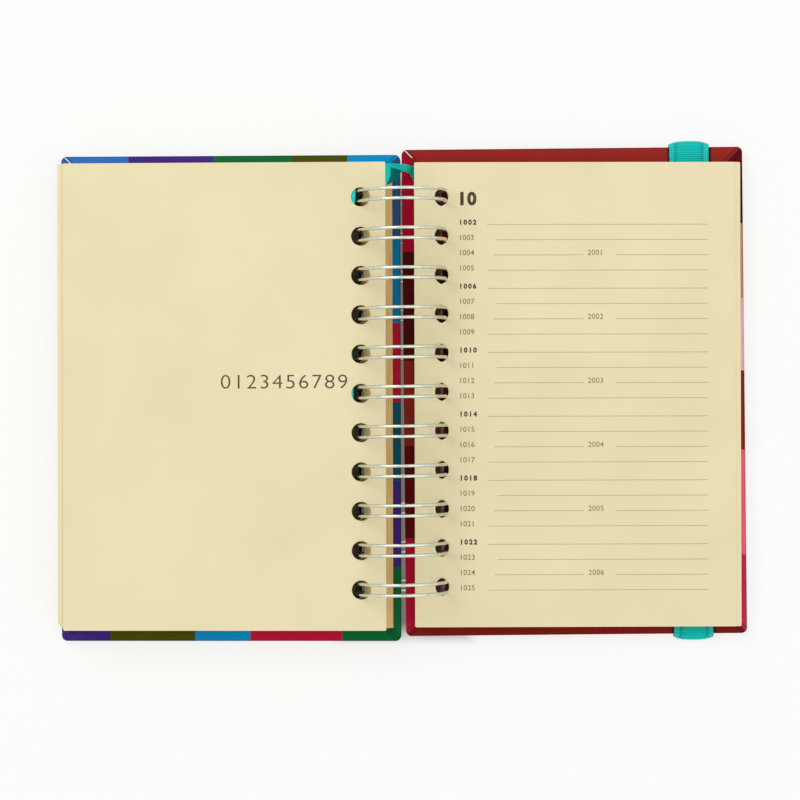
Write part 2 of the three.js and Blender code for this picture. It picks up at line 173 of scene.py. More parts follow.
SPREAD = half_place(0, 0)
FRONT_COVER = half_place(-left_tilt, FRONT_COVER_SHIFT)
LEFT_LEAVES = half_place(-left_tilt, LEFT_LEAF_SHIFT)
BACK_COVER = half_place(right_tilt, BACK_COVER_SHIFT, COVER_TURN)
RIGHT_LEAVES = half_place(right_leaf_tilt, RIGHT_LEAF_SHIFT)


def loop_y(index):
    return (index - (LOOP_COUNT - 1) / 2) * LOOP_PITCH


def hole_row(x, diameter, sides):
    """The binding holes of a leaf or a cover, each (x, y, diameter, sides)."""
    return [(x, loop_y(i), diameter, sides) for i in range(LOOP_COUNT)]


def from_hole(point, hole_x):
    """How far a point lies from the middle of the nearest binding hole."""
    return min(hypot(point.x - hole_x, point.y - loop_y(i)) for i in range(LOOP_COUNT))


def ring_reach(level):
    """How far from the axis the loops are at a height."""
    return sqrt(RING_RADIUS**2 - level**2)


def turned(x, z, angle):
    """Where a point of a half lies about the axis once that half is tilted."""
    return x * cos(angle) + z * sin(angle), z * cos(angle) - x * sin(angle)


# Node helpers
def linear(hex_colour):
    """The linear colour of a hex one, as the shader sockets take it."""
    parts = [int(hex_colour[i:i + 2], 16) / 255 for i in (1, 3, 5)]
    return [p / 12.92 if p <= 0.04045 else ((p + 0.055) / 1.055) ** 2.4 for p in parts] + [1]


class Value:
    """An output of a node. Arithmetic with it adds math nodes."""

    def __init__(self, nodes, socket):
        self.nodes = nodes
        self.socket = socket

    def math(self, operation, other=0.0):
        return self.nodes.new("Math", {0: self, 1: other}, operation=operation)

    __add__ = partialmethod(math, "ADD")
    __sub__ = partialmethod(math, "SUBTRACT")
    __mul__ = partialmethod(math, "MULTIPLY")
    __truediv__ = partialmethod(math, "DIVIDE")
    __mod__ = partialmethod(math, "MODULO")
    __abs__ = partialmethod(math, "ABSOLUTE")
    below = partialmethod(math, "LESS_THAN")
    above = partialmethod(math, "GREATER_THAN")
    most = partialmethod(math, "MAXIMUM")

    def __rsub__(self, other):
        return self.nodes.new("Math", {0: other, 1: self}, operation="SUBTRACT")

    def between(self, low, high):
        """1 where the value is between low and high, 0 elsewhere."""
        return self.above(low) * self.below(high)

    def grey(self, low, high, dark=0.0, light=1.0):
        """A grey from dark to light as the value goes from low to high."""
        return self.nodes.new("MapRange", {0: self, 1: low, 2: high, 3: dark, 4: light})


class Nodes:
    """The node tree of a material or a world, with short calls for the nodes used here."""

    def __init__(self, owner):
        owner.use_nodes = True
        self.tree = owner.node_tree

    def feed(self, socket, value):
        """Links a value into a socket, or sets it where the value is plain."""
        if isinstance(value, Value):
            self.tree.links.new(value.socket, socket)
        else:
            socket.default_value = linear(value) if isinstance(value, str) else value

    def new(self, kind, inputs=(), out=0, **settings):
        """Adds a node, with its inputs by number or name, and gives one of its outputs."""
        node = self.tree.nodes.new("ShaderNode" + kind)
        for key, value in settings.items():
            setattr(node, key, value)
        for key, value in dict(inputs).items():
            self.feed(node.inputs[key], value)
        return Value(self, node.outputs[out])

    def uv(self):
        return self.new("TexCoord", out="UV")

    def place(self):
        return self.new("TexCoord", out="Object")

    def split(self, vector):
        first = self.new("SeparateXYZ", {0: vector})
        return [Value(self, output) for output in first.socket.node.outputs]

    def noise(self, vector, scale, detail, roughness, stretch=None):
        if stretch:
            vector = self.new("Mapping", {"Vector": vector, "Scale": stretch})
        inputs = {"Vector": vector, "Scale": scale, "Detail": detail, "Roughness": roughness}
        return self.new("TexNoise", inputs)

    def ramp(self, value, stops, interpolation="LINEAR"):
        made = self.new("ValToRGB", {0: value})
        ramp = made.socket.node.color_ramp
        ramp.interpolation = interpolation
        while len(ramp.elements) < len(stops):
            ramp.elements.new(0.5)
        for point, (at, colour) in zip(ramp.elements, stops):
            point.position = at
            point.color = linear(colour)
        return made

    def mix(self, factor, a, b):
        return self.new("Mix", {0: factor, 6: a, 7: b}, out=2, data_type="RGBA")

    def seen_itself(self):
        """1 for rays that show the thing itself: the camera's own, reflected or let through."""
        rays = self.new("LightPath").socket.node.outputs
        camera, glossy, through = (Value(self, rays[f"Is {kind} Ray"]) for kind in (
            "Camera", "Glossy", "Transmission"))
        return camera.most(glossy.most(through))


class Material(Nodes):
    """A material of one shader. Values for its other sockets come by name, with _ for a space."""

    def __init__(self, name, roughness=0.6, specular=0.5, **sockets):
        self.material = bpy.data.materials.new(name)
        super().__init__(self.material)
        self.shader = self.tree.nodes["Principled BSDF"].inputs
        self.set(Roughness=roughness, Specular_IOR_Level=specular, **sockets)

    def set(self, **sockets):
        for name, value in sockets.items():
            self.feed(self.shader[name.replace("_", " ")], value)

    def finish(self, colour, height, strength, distance):
        """Gives the shader its colour and bumps, and returns the material."""
        bump = self.new("Bump", {"Strength": strength, "Distance": distance, "Height": height})
        self.set(Base_Color=colour, Normal=bump)
        return self.material


# Materials. Their UVs are in millimetres.
PAPER = "#E7DBB3"
PAPER_SHADE = "#E2D6AE"
PAPER_FIBRE = "#D2C294"
# The dark of the painted shade on the covers' turned-in edges
SHADE_DARK = "#080406"
GROOVE_SHADE = "#007D7A"
# Where the painted shade on the left stack's spine side begins, in metres across the diary
SPINE_SHADE_FROM = -0.0064
SEAM_WIDTH = 0.5
TUCK_WIDTH = 1.7
RIB_PITCH = 0.7
STITCH_PITCH = 0.8
FEINT_PITCH = 6.5
FEINT_WIDTH = 0.22
FEINT_START = 200
FEINT_ACROSS = (19.0, 99.9)
FEINT_ALONG = (-70.0, 55.0)


def feint_rules(n, base):
    """Fine printed rules inside a page's margins."""
    x, y, _ = n.split(n.uv())
    row = ((y + FEINT_START) % FEINT_PITCH).below(FEINT_WIDTH)
    field = abs(x).between(*FEINT_ACROSS) * y.between(*FEINT_ALONG)
    return n.mix(row * field, base, "#B8AB84")


def paper_material(name="paper_faces", shade_from=None, ruled=False):
    """Uncoated cream paper, cloudy and with fine fibres. From a given x on, in metres across the diary, it
    turns tan in streaks: painted shade on the stack's spine side."""
    n = Material(name, 0.9, 0.15)
    place = n.place()
    cloud = n.noise(place, 35, 2, 0.5)
    fibre = n.noise(place, 2600, 4, 0.65, (1, 1.7, 1))
    base = n.mix(cloud.grey(0.35, 0.7), PAPER, PAPER_SHADE)
    base = n.mix(fibre.grey(0.5, 0.8, 0, 0.1), base, PAPER_FIBRE)
    if shade_from is not None:
        # Painted shade: tan streaks like leaf edges on the stack's spine side
        streaks = n.noise(place, 1, 2, 0.6, (2600, 60, 1))
        shade_tan = n.mix(streaks.grey(0.35, 0.65), "#E3BE7C", "#F0D79C")
        base = n.mix(n.split(place)[0].grey(shade_from, shade_from + 0.001), base, shade_tan)
    return n.finish(feint_rules(n, base) if ruled else base, fibre, 0.2, 0.00003)


def hole_shaded_material(hole_x):
    """Paper that shows through the holes of the page above it, with painted shade there: dark near each
    hole's middle, turning tan towards its rim on the spine side.
    """
    n = Material("hole_shaded_paper", 0.9, 0.1)
    x, y, _ = n.split(n.uv())
    fibre = n.noise(n.place(), 2600, 4, 0.65)
    row = (y + LOOP_PITCH * 20.5) % LOOP_PITCH - LOOP_PITCH / 2
    off = x - hole_x
    away = (row * row + off * off).math("SQRT")
    # Painted shade inside the holes
    shade_tan = n.mix(off.grey(0.6, 3.1), "#5E4518", "#CBAE6A")
    base = n.mix(fibre.grey(0.5, 0.8, 0, 0.1), PAPER, PAPER_FIBRE)
    seen = away.grey(3.05, 3.3, 1, 0) * abs(y).below(LOOP_PITCH * LOOP_COUNT / 2)
    n.set(Base_Color=feint_rules(n, n.mix(seen, base, shade_tan)))
    return n.material


def paper_edge_material():
    """The cut edges of many leaves: fine lines along the stack. Their tan, darker than the paper's faces, and
    the dark lines between leaves are painted shade.
    """
    n = Material("paper_edges", 0.9, 0.2)
    uv = n.uv()
    leaves = n.noise(uv, 1, 3, 0.7, (0.35, 90, 1))
    cloud = n.noise(uv, 1, 2, 0.5, (2.5, 4, 1))
    base = n.ramp(leaves.grey(0.3, 0.72), [(0.0, "#B58A44"), (0.38, "#E4C27C"), (1.0, "#F6E0AC")])
    return n.finish(n.mix(cloud.grey(0.4, 0.8, 0, 0.35), base, "#E2C583"), leaves, 0.6, 0.00012)


def greyboard_material():
    n = Material("greyboard", 0.95)
    fibre = n.noise(n.place(), 1500, 4, 0.7)
    return n.finish(n.ramp(fibre.grey(0.3, 0.75), [(0.0, "#4A443C"), (1.0, "#B3AA9C")]), fibre, 0.6, 0.0002)


def wire_material():
    """Plated spring wire: bright, with a fine drawn grain along it."""
    n = Material("plated_wire", 0.24, Metallic=1.0)
    grain = n.noise(n.uv(), 1, 3, 0.6, (0.05, 9, 1))
    spots = n.noise(n.place(), 700, 3, 0.6)
    n.set(Roughness=grain.grey(0.3, 0.7, 0.16, 0.34))
    return n.finish(n.mix(spots.grey(0.45, 0.75, 0, 0.5), "#D6DACD", "#AEB5A8"), grain, 0.12, 0.00002)


def elastic_material():
    """Woven elastic: its weft ribs are in the mesh, and fine yarns cross them."""
    n = Material("woven_elastic", 0.8, 0.12, Sheen_Weight=0.1, Sheen_Roughness=0.5)
    uv = n.uv()
    along, across, _ = n.split(uv)
    yarn = n.noise(uv, 1, 3, 0.6, (2.2, 4.5, 1))
    fuzz = n.noise(uv, 1, 2, 0.6, (12, 12, 1))
    rib = (along * (2 * pi / RIB_PITCH)).math("SINE")
    stitch = (across * (2 * pi / STITCH_PITCH)).math("SINE")
    from_groove = abs(abs(across) - (SELVEDGE - 0.2))
    base = n.mix(yarn.grey(0.32, 0.68), "#00BCB6", "#10DED6")
    base = n.mix(abs(across).grey(SELVEDGE, SELVEDGE + 0.6, 0.0, 0.3), base, "#4FE6DA")
    base = n.mix(stitch.grey(-1.0, 0.0, 0.3, 0.0), base, "#009A95")
    # Painted shade: darker in the troughs between the ribs and in the grooves beside the selvedges
    base = n.mix(rib.grey(-1.0, 0.1, 0.6, 0.0), base, GROOVE_SHADE)
    base = n.mix(from_groove.grey(0.0, 0.4, 0.55, 0.0), base, GROOVE_SHADE)
    return n.finish(n.mix(fuzz.grey(0.55, 0.8, 0, 0.25), base, "#4FE0D8"), fuzz, 0.5, 0.0001)


def satin_material():
    """The face of a satin ribbon: fine lengthwise floats with a soft shine."""
    n = Material("satin_face", 0.5, 0.12, Anisotropic=0.6)
    floats = n.noise(n.uv(), 1, 3, 0.6, (0.7, 22, 1))
    return n.finish(n.mix(floats.grey(0.3, 0.7), "#00C2BA", "#00DAD0"), floats, 0.25, 0.00003)


def shaded_satin_back_material():
    """The reverse of a satin ribbon: a dull plain weave in a dark teal that paints the shade in the ribbon's
    fold.
    """
    n = Material("satin_reverse_shaded", 0.9, 0.05)
    weave = n.noise(n.uv(), 1, 3, 0.6, (9, 9, 1))
    return n.finish(n.mix(weave.grey(0.3, 0.7), "#045A58", "#067A76"), weave, 0.3, 0.00003)


def band_colours(n, position, bands):
    """Plain bands of colour along position. Each band is (where it ends from the middle, colour)."""
    span = COVER_HEIGHT + 20
    stops = []
    start = 0.0
    for end, colour in bands:
        stops.append((start, colour))
        start = min(max(end / span + 0.5, 0.0), 1.0)
    return n.ramp(position / span + 0.5, stops, "CONSTANT")


def laminate(n, base):
    """The finish of the covers' print: slightly uneven ink under a satin film with fine scuffs."""
    grain = n.noise(n.place(), 1100, 4, 0.6)
    tone = n.noise(n.place(), 55, 2, 0.5)
    base = n.mix(tone.grey(0.35, 0.7, 0, 0.1), base, "#100808")
    n.set(Roughness=grain.grey(0.3, 0.7, 0.4, 0.55))
    return n.finish(n.mix(grain.grey(0.7, 0.86, 0, 0.05), base, "#FFFFFF"), grain, 0.15, 0.00004)


def print_material(name, bands, length, cracked=False, band=False):
    """Print on a turned-in edge of a length, with tucked folds at its ends: u runs along it and v inwards.
    The tucks' facets and fold lines and the rounded rim get painted shade. cracked bares the paper at its
    first fold, and band darkens the print beside the closing band as its painted shadow."""
    n = Material(name, specular=0.07)
    u, v, _ = n.split(n.uv())
    base = band_colours(n, u, bands)
    rim_shade_noise = n.noise(n.place(), 320, 3, 0.6)
    to_fold = length / 2 - abs(u) - v
    # Painted shade on the tucked facet at each end and along its fold lines
    base = n.mix(to_fold.between(0.0, TUCK_WIDTH) * 0.2, base, SHADE_DARK)
    seam = abs(to_fold - TUCK_WIDTH).below(0.14)
    crease_shade = abs(to_fold).below(0.17)
    base = n.mix(seam.most(crease_shade) * 0.6, base, SHADE_DARK)
    if cracked:
        off = abs(to_fold - TUCK_WIDTH * 0.5)
        bare = off.below(0.22) * v.between(0.3, 2.6) * u.below(0)
        base = n.mix(bare, base, "#F4EEEA")
    if band:
        # Painted shadow of the closing band on the print beside it
        beside = abs(u - (BAND_TO_AXIS - COVER_MIDDLE)) - BAND_WIDTH / 2
        base = n.mix(beside.grey(0.35, 1.0, 0.85, 0), base, SHADE_DARK)
    # Painted shade along the rounded rim, its border made ragged by noise
    rim_shade = (v + rim_shade_noise * 0.4).below(0.55)
    return laminate(n, n.mix(rim_shade * 0.3, base, SHADE_DARK))


def face_material(name, rows):
    """Print on a cover's outer face: rows of plain colour blocks with a thin line between them."""
    n = Material(name, specular=0.07)
    u, v, _ = n.split(n.uv())
    base = band_colours(n, u, rows[0][1])
    for (seam, _), (_, bands) in zip(rows, rows[1:]):
        base = n.mix(v.above(seam), base, band_colours(n, u, bands))
        base = n.mix(abs(v - seam).below(SEAM_WIDTH / 2), base, "#EFEDE2")
    return laminate(n, base)


def cover_prints(cover, edges, rows):
    """The materials of a cover's four edges, in the order of flap, and of its outer face."""
    prints = []
    for edge, bands in edges.items():
        level = edge in ("top", "bottom")
        prints.append(print_material(
            f"{cover}_{edge}_print", bands, COVER_WIDTH if level else COVER_HEIGHT,
            cracked=edge == "top", band=level and cover == "back"))
    return prints + [face_material(f"{cover}_face_print", rows)]


def punched_material():
    """The wall of a punched hole: cut fibres, with the leaves as fine lines, in a dark tan that paints the
    shade inside the holes.
    """
    n = Material("punched_edges_shaded", 0.95, 0.05)
    leaves = n.noise(n.place(), 1000, 2, 0.5, (0.3, 0.3, 4.5))
    return n.finish(n.mix(leaves.grey(0.35, 0.68), "#4E3B16", "#A88B4C"), leaves, 0.4, 0.00005)


def ink_material(name, colour):
    """Printing ink that has sunk a little into the paper."""
    n = Material(name, 0.8, 0.15)
    grain = n.noise(n.place(), 3000, 3, 0.6)
    n.set(Base_Color=n.mix(grain.grey(0.45, 0.8, 0, 0.3), colour, PAPER))
    return n.material


def floor_material():
    """A pale matt table, near white with a light shadow where it is seen. Under the binding, where it shows
    between the covers and through the holes, it glows dark grey-olive and dark maroon: painted shade. The
    lengths are metres from the diary's middle."""
    n = Material("floor", 0.9, 0.0)
    seen = n.seen_itself()
    x, y, _ = n.split(n.place())
    beside = abs(x).grey(0.012, 0.024)
    beyond = y.grey(0.066, 0.078).most((y * -1).grey(0.076, 0.083))
    # Painted shade: the glow between the covers and below the holes
    gap_shade = n.mix(abs(x).grey(0.005, 0.007), "#7E776C", "#2C0E0C")
    n.set(
        Base_Color=n.mix(seen, "#E6E6E4", "#828380"), Emission_Strength=seen * 0.75,
        Emission_Color=n.mix(beside.most(beyond), gap_shade, "#FFFFFE"))
    return n.material


# Mesh helpers
def arc(x, y, radius, start, end, steps):
    """Points along an arc with both its ends. Its angles are in degrees."""
    angles = [radians(start + (end - start) * i / steps) for i in range(steps + 1)]
    return [(x + radius * cos(angle), y + radius * sin(angle)) for angle in angles]


def rounded(x0, x1, y0, y1, radius, steps):
    """A rectangle with rounded corners, anticlockwise."""
    points = []
    for x, y, start in (
            (x1 - radius, y0 + radius, -90), (x1 - radius, y1 - radius, 0),
            (x0 + radius, y1 - radius, 90), (x0 + radius, y0 + radius, 180)):
        points += arc(x, y, radius, start, start + 90, steps)
    return points


def flat_region(outline, holes, rails=()):
    """Triangles of a convex outline less its round holes, (points, faces). Edges follow the rails."""
    points = []
    edges = []
    for loop in [outline] + [arc(x, y, size / 2, 0, 360, sides)[:-1] for x, y, size, sides in holes]:
        first = len(points)
        points += [Vector(p) for p in loop]
        edges += [(first + i, first + (i + 1) % len(loop)) for i in range(len(loop))]
    for a, b in rails:
        edges.append((len(points), len(points) + 1))
        points += [Vector(a), Vector(b)]
    found = geometry.delaunay_2d_cdt(points, edges, [], 1, 1e-4)

    def in_hole(face):
        middle = sum((found[0][i] for i in face), Vector((0, 0))) / len(face)
        return any((middle - Vector(hole[:2])).length < hole[2] / 2 * 0.995 for hole in holes)

    return found[0], [face for face in found[2] if not in_hole(face)]


def slab_into(mesh, outline, holes, bottom, top, rails=()):
    """Adds a slab to a bmesh: the flat region at two heights, joined by walls."""
    points, faces = flat_region(outline, holes, rails)
    used = sorted({i for face in faces for i in face})
    low = {i: mesh.verts.new((points[i].x, points[i].y, bottom)) for i in used}
    high = {i: mesh.verts.new((points[i].x, points[i].y, top)) for i in used}
    sides = dict.fromkeys(pair for face in faces for pair in zip(face, face[1:] + face[:1]))
    for face in faces:
        mesh.faces.new([high[i] for i in face])
        mesh.faces.new([low[i] for i in reversed(face)])
    for a, b in sides:
        if (b, a) not in sides:
            mesh.faces.new((low[a], low[b], high[b], high[a]))


def sweep(line, section, uv):
    """A closed bmesh along a line. section gives a ring of points from a point, its tangent and its run,
    and uv gives a corner's UV from the run and the place in the ring."""
    mesh = bmesh.new()
    layer = mesh.loops.layers.uv.new("UVMap")
    rings = []
    runs = [0.0]
    for i, point in enumerate(line):
        before = line[max(i - 1, 0)]
        runs.append(runs[-1] + (point - before).length)
        tangent = (line[min(i + 1, len(line) - 1)] - before).normalized()
        rings.append([mesh.verts.new(corner) for corner in section(point, tangent, runs[-1])])
    count = len(rings[0])
    for i in range(len(rings) - 1):
        for k in range(count):
            j = (k + 1) % count
            face = mesh.faces.new((rings[i][k], rings[i][j], rings[i + 1][j], rings[i + 1][k]))
            for loop, (at, place) in zip(face.loops, ((i, k), (i, k + 1), (i + 1, k + 1), (i + 1, k))):
                loop[layer].uv = uv(runs[at + 1], place)
    mesh.faces.new(list(reversed(rings[0])))
    mesh.faces.new(rings[-1])
    bmesh.ops.recalc_face_normals(mesh, faces=mesh.faces)
    return mesh


def add_object(name, data):
    made = bpy.data.objects.new(name, data)
    scene.collection.objects.link(made)
    return made


def mesh_object(name, mesh, place=None, materials=()):
    """Makes the object of a bmesh, in its place in the row frame."""
    data = bpy.data.meshes.new(name)
    mesh.to_mesh(data)
    mesh.free()
    if place is not None:
        data.transform(place)
    for material in materials:
        data.materials.append(material)
    return add_object(name, data)


def painted_object(name, mesh, place, materials, uv=None, pick=None):
    """The same with a UV for each face corner, from its point and the face's normal and centre, and a
    material picked for each face from its centre and normal."""
    mesh.normal_update()
    layer = mesh.loops.layers.uv.new("UVMap")
    for face in mesh.faces:
        centre = face.calc_center_median()
        if pick:
            face.material_index = pick(centre, face.normal)
        if uv:
            for loop in face.loops:
                loop[layer].uv = uv(loop.vert.co, face.normal, centre)
    return mesh_object(name, mesh, place, materials)


def smooth(made, sharp_from=None):
    """Smooth shading, with edges kept sharp from an angle on."""
    made.data.shade_smooth()
    if sharp_from:
        made.data.set_sharp_from_angle(angle=radians(sharp_from))


def evaluated_mesh(made):
    """The mesh of an object once its modifiers or its text are worked out."""
    bpy.context.view_layer.update()
    return bpy.data.meshes.new_from_object(made.evaluated_get(bpy.context.evaluated_depsgraph_get()))


def stand_in(made, body, node):
    """Puts an object in the place of a CAD piece."""
    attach(made, body)
    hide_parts(node)


# The twin-loop wire, on the same path as in the part with finer steps
def wire_path():
    seam_angle = asin((COVER_INSIDE + SEAM_CLEARANCE + WIRE_RADIUS) / RING_RADIUS) - right_tilt
    tip_radius = LEG_SPACING / 2
    tip_start = 2 * pi * RING_RADIUS - WIRE_DIAMETER - TIP_GAP - tip_radius
    flat = [(loop_y(0) - LEG_SPACING / 2 - WIRE_STUB, 0.0)]

    def leg(y, start, end):
        return [(y, start + (end - start) * i / LEG_STEPS) for i in range(1, LEG_STEPS)]

    for i in range(LOOP_COUNT):
        near = loop_y(i) - LEG_SPACING / 2
        far = loop_y(i) + LEG_SPACING / 2
        flat += arc(near - BASE_CORNER, BASE_CORNER, BASE_CORNER, -90, 0, 6)
        flat += leg(near, BASE_CORNER, tip_start)
        flat += arc(loop_y(i), tip_start, tip_radius, 180, 0, 14)
        flat += leg(far, tip_start, BASE_CORNER)
        flat += arc(far + BASE_CORNER, BASE_CORNER, BASE_CORNER, 180, 270, 6)
    flat.append((loop_y(LOOP_COUNT - 1) + LEG_SPACING / 2 + WIRE_STUB, 0.0))

    def rolled(y, s):
        angle = seam_angle + s / RING_RADIUS
        return Vector((RING_RADIUS * cos(angle), y + LOOP_SLANT * cos(angle), RING_RADIUS * sin(angle)))

    return [rolled(*point) for point in flat]


def make_wire():
    """A round tube along the path, with sections that don't twist."""
    path = wire_path()
    normal = Vector((path[0].x, 0, path[0].z)).normalized()
    turns = [2 * pi * k / WIRE_SIDES for k in range(WIRE_SIDES)]

    def section(point, tangent, _):
        nonlocal normal
        normal = (normal - tangent * normal.dot(tangent)).normalized()
        binormal = tangent.cross(normal)
        return [point + (normal * cos(turn) + binormal * sin(turn)) * WIRE_RADIUS for turn in turns]

    mesh = sweep(path, section, lambda run, k: (run, k / WIRE_SIDES))
    wire = mesh_object("binding_wire", mesh, SPREAD, [wire_material()])
    smooth(wire)
    stand_in(wire, "back_cover", "twin_loop_wire")


# Covers
def mitres(side):
    """Lines from the cover's corners inwards, where two turned-in edges meet."""
    lines = []
    depth = COVER_WIDTH / 2 - 1
    for x, inward in zip(sorted((side * COVER_TO_AXIS, side * COVER_REACH)), (1, -1)):
        for end in (-1, 1):
            corner = Vector((x + inward * 0.3, end * (COVER_HEIGHT / 2 - 0.3) - HOLE_ROW_RISE))
            lines.append((corner, corner + Vector((inward * depth, -end * depth))))
    return lines


def from_edges(point):
    """How far a point lies from the cover's top, bottom, spine and outer edge."""
    half = COVER_HEIGHT / 2
    across = abs(point.x)
    return (
        half - HOLE_ROW_RISE - point.y, point.y + half + HOLE_ROW_RISE,
        across - COVER_TO_AXIS, COVER_REACH - across)


def flap(point):
    """Which edge of the cover a point belongs to: 0 top, 1 bottom, 2 spine, 3 outer."""
    away = from_edges(point)
    return away.index(min(away))


def flap_uv(side, point, which):
    """u along the cover's edge from its middle, v inwards from it, in millimetres."""
    along = point.x - side * COVER_MIDDLE if which < 2 else point.y + HOLE_ROW_RISE
    return along, from_edges(point)[which]


def bevel_rim(mesh, low, high):
    """Rounds the rim edges of the outline at both heights. Hole rims stay sharp."""
    rim = []
    for edge in mesh.edges:
        level = any(all(abs(v.co.z - height) < 1e-4 for v in edge.verts) for height in (low, high))
        at_outline = all(min(from_edges(v.co)) < RIM_REACH for v in edge.verts)
        if level and at_outline and edge.calc_face_angle(0) > 1:
            rim.append(edge)
    bmesh.ops.bevel(mesh, geom=rim, offset=RIM_ROUNDING, segments=4, profile=0.5, affect="EDGES")


def less_grooves(mesh, depth):
    """A bmesh of the back cover less the closing band's grooves, this far in from its edges."""
    width = BAND_WIDTH + BAND_GAP * 8
    floor = TURN_IN_TOP - BAND_THICKNESS - BAND_GAP * 2
    body = mesh_object("cover", mesh)
    cutters = []
    for end in (-1, 1):
        box = bmesh.new()
        middle = end * (COVER_HEIGHT + 1 - depth) / 2 - HOLE_ROW_RISE
        place = Matrix.Translation((BAND_TO_AXIS, middle, floor + 1))
        bmesh.ops.create_cube(box, size=1, matrix=place @ Matrix.Diagonal((width, depth + 1, 2, 1)))
        cutters.append(mesh_object("groove", box))
        cut = body.modifiers.new("groove", "BOOLEAN")
        cut.operation = "DIFFERENCE"
        cut.solver = "EXACT"
        cut.object = cutters[-1]
    data = evaluated_mesh(body)
    out = bmesh.new()
    out.from_mesh(data)
    for made in [body] + cutters:
        bpy.data.objects.remove(made)
    bpy.data.meshes.remove(data)
    return out


def make_cover(side, name, place, prints, board):
    """Board, wrap and endpaper of one cover. prints are the materials: four edges and the outer face."""
    hole_x = side * COVER_HOLE_X

    def slab(inset, corner, bottom, top, notch, rails=(), rim=False):
        mesh = bmesh.new()
        xs = sorted((side * (COVER_TO_AXIS + inset), side * (COVER_REACH - inset)))
        half = COVER_HEIGHT / 2 - inset
        outline = rounded(*xs, -half - HOLE_ROW_RISE, half - HOLE_ROW_RISE, corner, 8)
        slab_into(mesh, outline, hole_row(hole_x, COVER_HOLE, 32), bottom, top, rails)
        if rim:
            bevel_rim(mesh, bottom, top)
        return less_grooves(mesh, notch) if side > 0 else mesh

    def pick(centre, normal):
        """An edge's print, 4 for the outer face's and 5 for the board in the holes."""
        if abs(normal.z) < 0.5 and from_hole(centre, hole_x) < COVER_HOLE * 0.6:
            return 5
        if normal.z < -0.7 and centre.z < (COVER_UNDER + TURN_IN_TOP) / 2:
            return 4
        return flap(centre)

    def uv(point, normal, centre):
        chosen = pick(centre, normal)
        if chosen >= 4:
            return point.x - side * COVER_MIDDLE, point.y + HOLE_ROW_RISE
        return flap_uv(side, point, chosen)

    mesh = slab(WRAP_THICKNESS + GLUE_GAP, COVER_CORNER - WRAP_THICKNESS,
                BOARD_BOTTOM, BOARD_BOTTOM + BOARD_THICKNESS, BAND_TAB + BAND_GAP * 4)
    stand_in(painted_object(f"{name}_core", mesh, place, [board]), name, f"{name}_board")

    mesh = slab(0, COVER_CORNER, COVER_UNDER, TURN_IN_TOP, BAND_TAB + BAND_GAP * 4, mitres(side), rim=True)
    made = painted_object(f"{name}_skin", mesh, place, prints + [board], uv, pick)
    smooth(made, 35)
    stand_in(made, name, f"{name}_wrap")

    bottom = TURN_IN_TOP + GLUE_GAP
    mesh = slab(ENDPAPER_MARGIN, 1, bottom, bottom + ENDPAPER_THICKNESS, LINING_NOTCH, mitres(side))
    made = painted_object(f"{name}_lining", mesh, place, prints[:4],
                          lambda p, n, c: flap_uv(side, p, flap(c)), lambda c, n: flap(c))
    stand_in(made, name, f"{name}_endpaper")


# Leaves
def leaf_outline(side, hole_x, inset, cut):
    """A leaf's outline, anticlockwise. cut takes off its outer bottom corner."""
    spine = hole_x - side * LEAF_HOLE_TO_EDGE
    outer = spine + side * (LEAF_WIDTH - inset)
    low = LEAF_LOW + inset
    high = LEAF_HIGH - inset
    if not cut:
        return rounded(*sorted((spine, outer)), low, high, LEAF_CORNER, 6)
    corners = [(spine, low), (outer - side * cut, low), (outer, low + cut), (outer, high), (spine, high)]
    return corners[::side]


def make_leaves(name, part, body, side, bottom, thickness, materials, layers=1, cut=0.0, slack=0.0):
    """A block of leaves, in thin layers that lie slightly apart at their edges, as far out on the loops as
    its holes let it. A single leaf is one layer. The materials are for faces, cut edges and hole walls."""
    level = bottom + thickness / 2
    hole_x = side * (ring_reach(level) - slack)
    sides = 32
    if layers > 1:
        fan = LEFT_FAN if side < 0 else RIGHT_FAN
        hole_x = side * (ring_reach(level) + fan - abs(level) / ring_reach(level) * thickness / 2)
        sides = 20
    mesh = bmesh.new()
    step = thickness / layers
    for i in range(layers):
        inset = EDGE_WAVE * (0.5 + 0.5 * sin(2.4 * i + 7.1 * bottom)) if layers > 1 else 0.0
        slab_into(mesh, leaf_outline(side, hole_x, inset, cut), hole_row(hole_x, LEAF_HOLE, sides),
                  bottom + step * i, bottom + step * (i + 1))

    def uv(point, normal, _):
        return (point.x, point.y) if abs(normal.z) > 0.5 else (point.x + point.y, point.z)

    def pick(centre, normal):
        if abs(normal.z) > 0.5:
            return 0
        return 2 if from_hole(centre, hole_x) < LEAF_HOLE / 2 + 0.05 else 1

    place = LEFT_LEAVES if side < 0 else RIGHT_LEAVES
    stand_in(painted_object(name, mesh, place, materials, uv, pick), body, part)


def make_left_stack(pages):
    level = LEFT_BOTTOM
    # The lower leaves carry painted shade on their spine side
    materials = [paper_material("spine_shaded_paper", SPINE_SHADE_FROM, ruled=True)] + pages[1:]
    make_leaves("planner_leaves", "planner_section", "planner", -1, level, PLANNER_THICKNESS, materials,
                6, CORNER_CUT)
    level += PLANNER_THICKNESS + LEAF_GAP
    for number in range(1, MONTH_COUNT + 1):
        month = f"month_{number:02d}"
        gap = LEAF_GAP
        if number == MONTH_COUNT:
            gap = RIBBON_SPACE
            title_level = level + MONTH_THICKNESS + gap + TITLE_THICKNESS / 2
            # Month 12 has painted shade where it shows through the title page's holes
            materials = [hole_shaded_material(TITLE_SLACK - ring_reach(title_level))] + pages[1:]
        make_leaves(f"{month}_leaves", f"{month}_section", month, -1, level, MONTH_THICKNESS, materials,
                    4, CORNER_CUT)
        level += MONTH_THICKNESS + gap
    make_leaves("title_page", "title_leaf", "title", -1, level, TITLE_THICKNESS, pages, slack=TITLE_SLACK)


